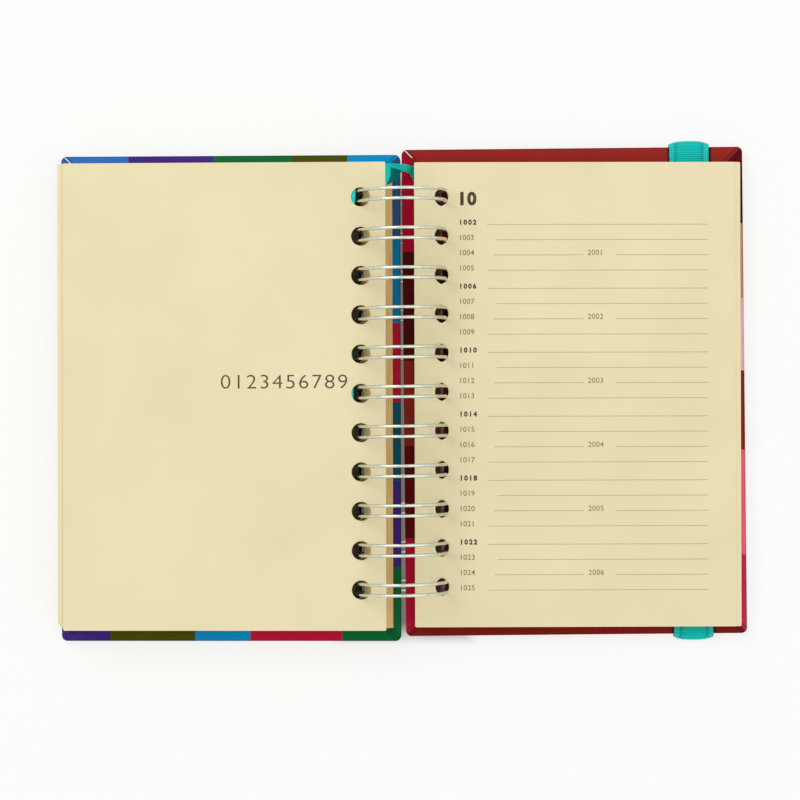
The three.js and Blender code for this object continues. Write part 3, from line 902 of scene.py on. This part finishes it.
def make_right_stack(pages):
    level = RIGHT_BOTTOM
    materials = [paper_material("ruled_paper", ruled=True)] + pages[1:]
    for thickness, part, layers in zip(ADDRESS_THICKNESSES, ("back", "middle", "front"), (6, 6, 5)):
        make_leaves(f"address_leaves_{part}", f"address_section_{part}", f"address_{part}", 1, level,
                    thickness, materials, layers)
        level += thickness + LEAF_GAP
    make_leaves("address_page", "address_top_leaf", "address_top", 1, level, ADDRESS_THICKNESSES[3], pages,
                slack=TOP_LEAF_SLACK)


# Printed matter on the two open pages: plain numbers and rules, a hair above the paper
INK_RISE = 0.012
HEADING = ("10", 19.3, 60.7, 4.5)
LABEL_X = 19.2
LABEL_HEIGHT = 1.75
SECOND_LABEL_X = 60.8
FIRST_ROW_Y = 54.4
ROW_PITCH = 4.97
BLOCK_PITCH = 20.84
BLOCK_COUNT = 6
RULE_END = 99.9
RULE_WIDTH = 0.2
RULE_STARTS = (28.0, 31.1, 30.2, 28.1)
SPLIT_ROW = 2
FIRST_LABEL = 1002
SECOND_LABEL = 2001
SPLIT_FROM, SPLIT_TO = 59.4, 69.9
TITLE_DIGITS = "0123456789"
TITLE_FROM, TITLE_TO, TITLE_Y, TITLE_HEIGHT = -58.4, -17.4, 1.6, 4.5


def add_digits(mesh, digits, x, y, height, level, weight, spacing, width=None, ink=0):
    """Adds flat digits with their lower left corner at x, y, as wide as width if it is given."""
    curve = bpy.data.curves.new("digits", "FONT")
    curve.body = digits
    curve.offset = weight
    curve.space_character = spacing
    curve.resolution_u = 6
    holder = add_object("digits", curve)
    data = evaluated_mesh(holder)
    bpy.data.objects.remove(holder)
    xs = [v.co.x for v in data.vertices]
    ys = [v.co.y for v in data.vertices]
    scale = height / (max(ys) - min(ys))
    stretch = width / (max(xs) - min(xs)) if width else scale
    first = len(mesh.faces)
    data.transform(
        Matrix.Translation((x, y, level)) @ Matrix.Diagonal((stretch, scale, 1, 1))
        @ Matrix.Translation((-min(xs), -min(ys), 0)))
    mesh.from_mesh(data)
    mesh.faces.ensure_lookup_table()
    for face in mesh.faces[first:]:
        face.material_index = ink
    bpy.data.meshes.remove(data)


def make_print(name, mesh, place, materials, body):
    made = painted_object(name, mesh, place, materials)
    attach(made, body)


def make_title_digits():
    mesh = bmesh.new()
    add_digits(mesh, TITLE_DIGITS, TITLE_FROM, TITLE_Y, TITLE_HEIGHT, LEFT_TOP + INK_RISE,
               -0.008, 1.15, width=TITLE_TO - TITLE_FROM)
    make_print("title_digits", mesh, LEFT_LEAVES, [ink_material("title_ink", "#4B4628")], "title")


def make_address_digits():
    """Blocks of numbered rows with their rules. One row of each has a second number in its middle."""
    level = RIGHT_TOP + INK_RISE
    mesh = bmesh.new()

    def add_rule(start, end, y):
        corners = [(start, y), (end, y), (end, y + RULE_WIDTH), (start, y + RULE_WIDTH)]
        mesh.faces.new([mesh.verts.new((*corner, level)) for corner in corners]).material_index = 2

    add_digits(mesh, *HEADING, level, 0.05, 1.15)
    for block in range(BLOCK_COUNT):
        for row, start in enumerate(RULE_STARTS):
            y = FIRST_ROW_Y - BLOCK_PITCH * block - ROW_PITCH * row
            weight, spacing, ink = (0.05, 1.4, 0) if row == 0 else (0.004, 1.05, 1)
            label = str(FIRST_LABEL + block * len(RULE_STARTS) + row)
            add_digits(mesh, label, LABEL_X, y, LABEL_HEIGHT, level, weight, spacing, ink=ink)
            if row == SPLIT_ROW:
                add_rule(start, SPLIT_FROM, y)
                label = str(SECOND_LABEL + block)
                add_digits(mesh, label, SECOND_LABEL_X, y, LABEL_HEIGHT, level, 0.0, 1.05, ink=1)
                start = SPLIT_TO
            add_rule(start, RULE_END, y)
    inks = [ink_material(name, colour) for name, colour in (
        ("bold_ink", "#2E2A12"), ("thin_ink", "#6E663C"), ("rule_ink", "#B0A578"))]
    make_print("address_digits", mesh, RIGHT_LEAVES, inks, "address_top")


# Closing band
def band_profile():
    """Centre line of the band, from one tab's end to the other."""
    half = COVER_HEIGHT / 2
    under = COVER_UNDER - BAND_GAP - BAND_THICKNESS / 2
    tab = COVER_INSIDE - ENDPAPER_THICKNESS - GLUE_GAP - BAND_GAP - BAND_THICKNESS / 2
    reach = half + BAND_BULGE - BAND_THICKNESS / 2
    radius = BAND_CORNER - BAND_THICKNESS / 2
    points = [(-half + BAND_TAB, tab)]
    for y, z, start in (
            (radius - reach, tab - radius, 90), (radius - reach, under + radius, 180),
            (reach - radius, under + radius, -90), (reach - radius, tab - radius, 0)):
        points += arc(y, z, radius, start, start + 90, 7)
    points.append((half - BAND_TAB, tab))
    return [Vector((BAND_TO_AXIS, y - HOLE_ROW_RISE, z)) for y, z in points]


def band_relief(across, run):
    """How far the band's surface is from its middle layer: ribs between two grooves, and plain selvedges."""
    away = abs(across)
    half = BAND_THICKNESS / 2
    if away > BAND_WIDTH / 2 - 0.5:
        return half * 0.45
    if away > SELVEDGE:
        return half * 0.9
    if away > SELVEDGE - 0.45:
        return half * 0.4
    return half * (0.8 + 0.2 * sin(2 * pi * run / RIB_PITCH))


def make_band(material):
    line = band_profile()
    dense = []
    for a, b in zip(line, line[1:]):
        pieces = max(1, round((b - a).length / (RIB_PITCH / 3)))
        dense += [a.lerp(b, i / pieces) for i in range(pieces)]
    dense.append(line[-1])
    half_width = BAND_WIDTH / 2
    steps = [2, SELVEDGE - 0.5, SELVEDGE - 0.4, SELVEDGE - 0.05, SELVEDGE + 0.1, half_width - 0.3, half_width]
    across = [-step for step in reversed(steps)] + [0] + steps
    around = [(a, 1) for a in across] + [(a, -1) for a in reversed(across)]
    fold = COVER_HEIGHT / 2 - 1.5

    def section(point, tangent, run):
        """The band's edges slump towards the cover where it goes round the cover's rim."""
        y = point.y + HOLE_ROW_RISE
        slump = EDGE_SLUMP * min(max((abs(y) - fold) / (BAND_BULGE + 1.5), 0), 1) * (1 if y > 0 else -1)
        out = Vector((0, tangent.z, -tangent.y))
        return [
            point + out * (face * band_relief(a, run)) + Vector((a, -slump * (abs(a) / half_width) ** 3, 0))
            for a, face in around]

    mesh = sweep(dense, section, lambda run, k: (run, around[k % len(around)][0]))
    band = mesh_object("elastic_band", mesh, BACK_COVER, [material])
    smooth(band)
    stand_in(band, "back_cover", "closing_band")


# Ribbon marker
def smooth_line(points, per_stretch):
    """A smooth line through the points: a centripetal Catmull-Rom curve, as in the part."""
    line = [points[0] * 2 - points[1]] + list(points) + [points[-1] * 2 - points[-2]]
    out = []
    for p0, p1, p2, p3 in zip(line, line[1:], line[2:], line[3:]):
        d0, d1, d2 = (max((b - a).length ** 0.5, 1e-6) for a, b in ((p0, p1), (p1, p2), (p2, p3)))
        t1 = ((p1 - p0) / d0 - (p2 - p0) / (d0 + d1) + (p2 - p1) / d1) * d1
        t2 = ((p2 - p1) / d1 - (p3 - p1) / (d1 + d2) + (p3 - p2) / d2) * d1
        for i in range(per_stretch):
            t = i / per_stretch
            out.append(
                p1 * (2 * t**3 - 3 * t**2 + 1) + t1 * (t**3 - 2 * t**2 + t)
                + p2 * (3 * t**2 - 2 * t**3) + t2 * (t**3 - t**2))
    out.append(points[-1].copy())
    return out


def make_ribbon_strip(name, node, body, place, line, across_at, material):
    """A ribbon along a line. across_at gives its crosswise direction from its tangent."""
    shares = [k / RIBBON_COLUMNS for k in range(RIBBON_COLUMNS + 1)]
    around = [(share, -1) for share in shares] + [(share, 1) for share in reversed(shares)]

    def section(point, tangent, _):
        wanted = across_at(tangent)
        across = (wanted - tangent * wanted.dot(tangent)).normalized()
        lift = tangent.cross(across).normalized()
        return [
            point + across * (RIBBON_WIDTH * (share - 0.5)) + lift * (face * RIBBON_THICKNESS / 2)
            for share, face in around]

    mesh = sweep(line, section, lambda run, k: (run, RIBBON_WIDTH * around[k % len(around)][0]))
    made = mesh_object(name, mesh, place, [material])
    smooth(made, 50)
    stand_in(made, body, node)


def ribbon_bridge(tab_height, slot_height, tail_edge):
    """The stretch from the tab to the slot, as rows of points across it. It leaves the tab flat, folds
    lengthwise as it rises between the halves, and opens out at the slot."""
    flat_y = (0, -1.5, -3, -4.5, -6)
    level = (0, 0, 0, 0, 0)
    tab_x, tab_z = turned(RIBBON_TAB_START - RIBBON_BUTT_GAP, tab_height, right_tilt)

    def on_slot(x):
        return turned(x, slot_height, -left_tilt)

    # Each line across: x and z of its upper end, then how far five points of it lie down the page and below
    frames = [
        ((tab_x, tab_z), flat_y, level),
        ((tab_x - 0.75, tab_z + 0.1), flat_y, level),
        ((3.3, -7.9), (-0.2, -1.4, -2.5, -3.3, -3.6), (0, -0.3, -0.5, -0.4, -0.2)),
        ((1.6, -3.6), (-0.1, -1.2, -2.3, -2.1, -1.2), (0, -0.9, -1.8, -2.9, -3.9)),
        ((0.1, -1.2), (-0.2, -1.1, -2.0, -2.2, -1.9), (0, -1.1, -2.2, -3.5, -4.8)),
        ((-0.7, 0.1), (-0.3, -1.0, -1.9, -2.9, -3.7), (0, -1.2, -2.4, -3.4, -4.3)),
        ((-3.2, 2.5), (-0.4, -1.1, -2.5, -4.5, -6.5), (0, -1.2, -1.9, -1.8, -1.5)),
        (on_slot(-5.1), (-0.5, -2.0, -3.6, -5.5, -7.4), (0, -0.2, -0.35, -0.35, -0.3)),
        (on_slot(-6.4), (-0.5, -2.1, -3.8, -5.4, -7.1), level),
        (on_slot(-10), (-0.2, -1.7, -3.3, -4.8, -6.4), level),
        (on_slot(tail_edge), flat_y, level)]
    rails = [
        smooth_line([Vector((x, RIBBON_TOP + ys[k], z + zs[k])) for (x, z), ys, zs in frames], 8)
        for k in range(len(level))]
    return [smooth_line(list(across), 4) for across in zip(*rails)]


def make_ribbon_bridge(rows, front, back):
    """A folded ribbon from rows of points. On a stretch picked by position the darker reverse material faces
    up: partly the reverse side where it folds over, partly painted shade in the fold.
    """
    mesh = bmesh.new()
    layer = mesh.loops.layers.uv.new("UVMap")
    last = len(rows[0]) - 1

    def lift(i, k):
        """The upward direction off the ribbon's face at a point."""
        along = rows[min(i + 1, len(rows) - 1)][k] - rows[max(i - 1, 0)][k]
        across = rows[i][min(k + 1, last)] - rows[i][max(k - 1, 0)]
        normal = along.cross(across).normalized()
        return -normal if normal.z < 0 else normal

    sheets = [
        [[mesh.verts.new(point + lift(i, k) * (side * RIBBON_THICKNESS / 2)) for k, point in enumerate(row)]
         for i, row in enumerate(rows)]
        for side in (1, -1)]

    def fill(corners, slot):
        """A face from its corners, each (sheet, row, place in the row)."""
        face = mesh.faces.new([sheets[sheet][i][k] for sheet, i, k in corners])
        face.material_index = slot
        for loop, (_, i, k) in zip(face.loops, corners):
            loop[layer].uv = (i * 0.4, RIBBON_WIDTH * k / last)

    for i in range(len(rows) - 1):
        for k in range(last):
            cells = ((i, k), (i + 1, k), (i + 1, k + 1), (i, k + 1))
            middle = (rows[i][k] + rows[i + 1][k + 1]) / 2
            share = (k + 0.5) / last
            # Painted shade: faces of this stretch, picked by position, take the darker reverse material
            start = FOLD_LEFT + 1.5 * sin(pi * share)
            shaded_fold = start < middle.x < FOLD_RIGHT and share > 0.2 + 0.07 * (middle.x - FOLD_LEFT)
            slot = 1 if shaded_fold else 0
            fill([(0, *cell) for cell in cells], slot)
            fill([(1, *cell) for cell in reversed(cells)], 1 - slot)
    for i in range(len(rows) - 1):
        for k in (0, last):
            fill([(0, i, k), (0, i + 1, k), (1, i + 1, k), (1, i, k)], 0)
    for i in (0, len(rows) - 1):
        for k in range(last):
            fill([(0, i, k), (0, i, k + 1), (1, i, k + 1), (1, i, k)], 0)
    bmesh.ops.recalc_face_normals(mesh, faces=mesh.faces)
    made = mesh_object("ribbon_rise", mesh, SPREAD, [front, back])
    smooth(made, 60)
    return made


def make_ribbon(front, back):
    """The glued tab, the rise between the halves and the end that lies in the left stack."""
    slot_height = LEFT_TOP - TITLE_THICKNESS - RIBBON_GAP - RIBBON_THICKNESS / 2
    tail_x = -ring_reach(slot_height) - RIBBON_TO_WIRE - RIBBON_WIDTH / 2
    tail = [Vector((tail_x - drift, RIBBON_TOP - run, slot_height)) for run, drift in RIBBON_DRIFT]
    make_ribbon_strip("ribbon_end", "ribbon_tail", "month_12", LEFT_LEAVES, smooth_line(tail, 12),
                      lambda tangent: Vector((-tangent.y, tangent.x, 0)), front)

    middle_y = RIBBON_TOP - RIBBON_WIDTH / 2
    tab_height = COVER_INSIDE + RIBBON_GAP + RIBBON_THICKNESS / 2
    tab = [
        Vector((x, middle_y - BACK_COVER_SHIFT, tab_height))
        for x in (RIBBON_TAB_START + RIBBON_TAB, RIBBON_TAB_START)]
    make_ribbon_strip("ribbon_glued", "ribbon_tab", "back_cover", BACK_COVER, smooth_line(tab, 8),
                      lambda tangent: Vector((0, 1, 0)), front)

    rows = ribbon_bridge(tab_height, slot_height, tail_x + RIBBON_WIDTH / 2 + RIBBON_BUTT_GAP)
    bridge = make_ribbon_bridge(rows, front, back)
    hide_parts("ribbon_bridge")
    bend = [SPREAD @ Vector((x, middle_y, z)) for x, z in RIBBON_BEND]
    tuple(bend[0])
    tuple(bend[1])
    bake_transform(bridge)


# Bands of colour along the covers' edges, each (where it ends from the edge's middle, colour)
FRONT_EDGES = {
    "top": [(-34, "#2F78CC"), (-6, "#46288C"), (20, "#0A6E3A"), (38, "#4A5000"), (100, "#0096D6")],
    "bottom": [(-40, "#46288C"), (-12, "#4A5000"), (6, "#0096D6"), (36, "#C4103F"), (100, "#006E34")],
    # Painted shade in part: the spine's darker tones were matched to the spine as it looks in shade
    "spine": [(-56, "#0A6E3A"), (-28, "#46288C"), (-2, "#005C72"), (24, "#C4103F"), (52, "#0082C0"),
              (100, "#2F5A92")],
    "outer": [(-44, "#46288C"), (-14, "#0096D6"), (22, "#C4103F"), (100, "#2F78CC")]}
BACK_EDGES = {
    "top": [(100, "#962620")],
    "bottom": [(100, "#821410")],
    "spine": [(-48, "#C20A40"), (-18, "#620002"), (10, "#962620"), (46, "#4E0204"), (100, "#B60030")],
    "outer": [(-54, "#D0305E"), (-20, "#FF6E8C"), (6, "#962620"), (30, "#FFCBDA"), (54, "#DCA08C"),
              (100, "#5C0206")]}

# Rows of blocks on the covers' outer faces: (where the row ends, its bands)
FRONT_FACE = [
    (-52, [(-30, "#0A82BE"), (2, "#4A5000"), (100, "#2A6EBE")]),
    (-24, [(-38, "#B4143C"), (-6, "#005A28"), (30, "#0096D6"), (100, "#46288C")]),
    (8, [(-14, "#284B96"), (20, "#0A6E3A"), (100, "#005A82")]),
    (38, [(-34, "#0078AA"), (-4, "#46288C"), (34, "#B4143C"), (100, "#0A5A32")]),
    (90, [(-20, "#0A6E3A"), (12, "#0096D6"), (100, "#321450")])]
BACK_FACE = [
    (-46, [(-24, "#5A0000"), (14, "#FF6987"), (100, "#8C0023")]),
    (-14, [(-36, "#A00F32"), (4, "#7D140F"), (36, "#F5C3D2"), (100, "#5A0000")]),
    (16, [(-12, "#5A0000"), (26, "#B42850"), (100, "#A03228")]),
    (48, [(-32, "#C88C8C"), (-2, "#8C0023"), (30, "#5A0000"), (100, "#A00F32")]),
    (90, [(-16, "#A03228"), (18, "#5A0000"), (100, "#B42850")])]


# Light, floor and camera
def make_stage():
    """A bright room that looks white, a pale table and two soft lamps."""
    world = bpy.data.worlds.new("studio")
    scene.world = world
    n = Nodes(world)
    n.feed(n.tree.nodes["Background"].inputs["Color"], (1, 1, 1, 1))
    n.feed(n.tree.nodes["Background"].inputs["Strength"], 0.7)
    room = Value(n, n.tree.nodes["Background"].outputs[0])
    white = n.new("Background", {"Color": (0.93, 0.94, 0.935, 1)})
    shown = n.new("MixShader", {0: n.seen_itself(), 1: room, 2: white})
    n.feed(n.tree.nodes["World Output"].inputs["Surface"], shown)

    mesh = bmesh.new()
    bmesh.ops.create_grid(mesh, x_segments=1, y_segments=1, size=2.5)
    mesh_object("floor", mesh, materials=[floor_material()])

    for name, spot, size, power in (
            ("key", (-0.5, 0.55, 0.9), 0.7, 4.6),
            ("fill", (0.75, -0.3, 1.1), 1.2, 3.4)):
        lamp_data = bpy.data.lights.new(name, "AREA")
        lamp_data.shape = "SQUARE"
        lamp_data.size = size
        lamp_data.energy = power
        lamp = add_object(name, lamp_data)
        lamp.location = spot
        lamp.rotation_euler = (-Vector(spot)).to_track_quat("-Z", "Y").to_euler()


def make_camera():
    """The photograph's view: nearly straight down, turned by under a degree."""
    camera_data = bpy.data.cameras.new("camera")
    camera_data.sensor_width = 36
    camera_data.lens = 124.8
    camera = add_object("camera", camera_data)
    camera.location = (0.0134, -0.0092, 0.914)
    camera.rotation_euler = Euler((radians(0.418), radians(0.909), radians(-0.143)))
    scene.camera = camera


scene.view_settings.view_transform = "Standard"
make_camera()
make_stage()

make_wire()
board = greyboard_material()
make_cover(-1, "front_cover", FRONT_COVER, cover_prints("front", FRONT_EDGES, FRONT_FACE), board)
make_cover(1, "back_cover", BACK_COVER, cover_prints("back", BACK_EDGES, BACK_FACE), board)
pages = [paper_material(), paper_edge_material(), punched_material()]
make_left_stack(pages)
make_right_stack(pages)
make_band(elastic_material())
make_ribbon(satin_material(), shaded_satin_back_material())
make_title_digits()
make_address_digits()
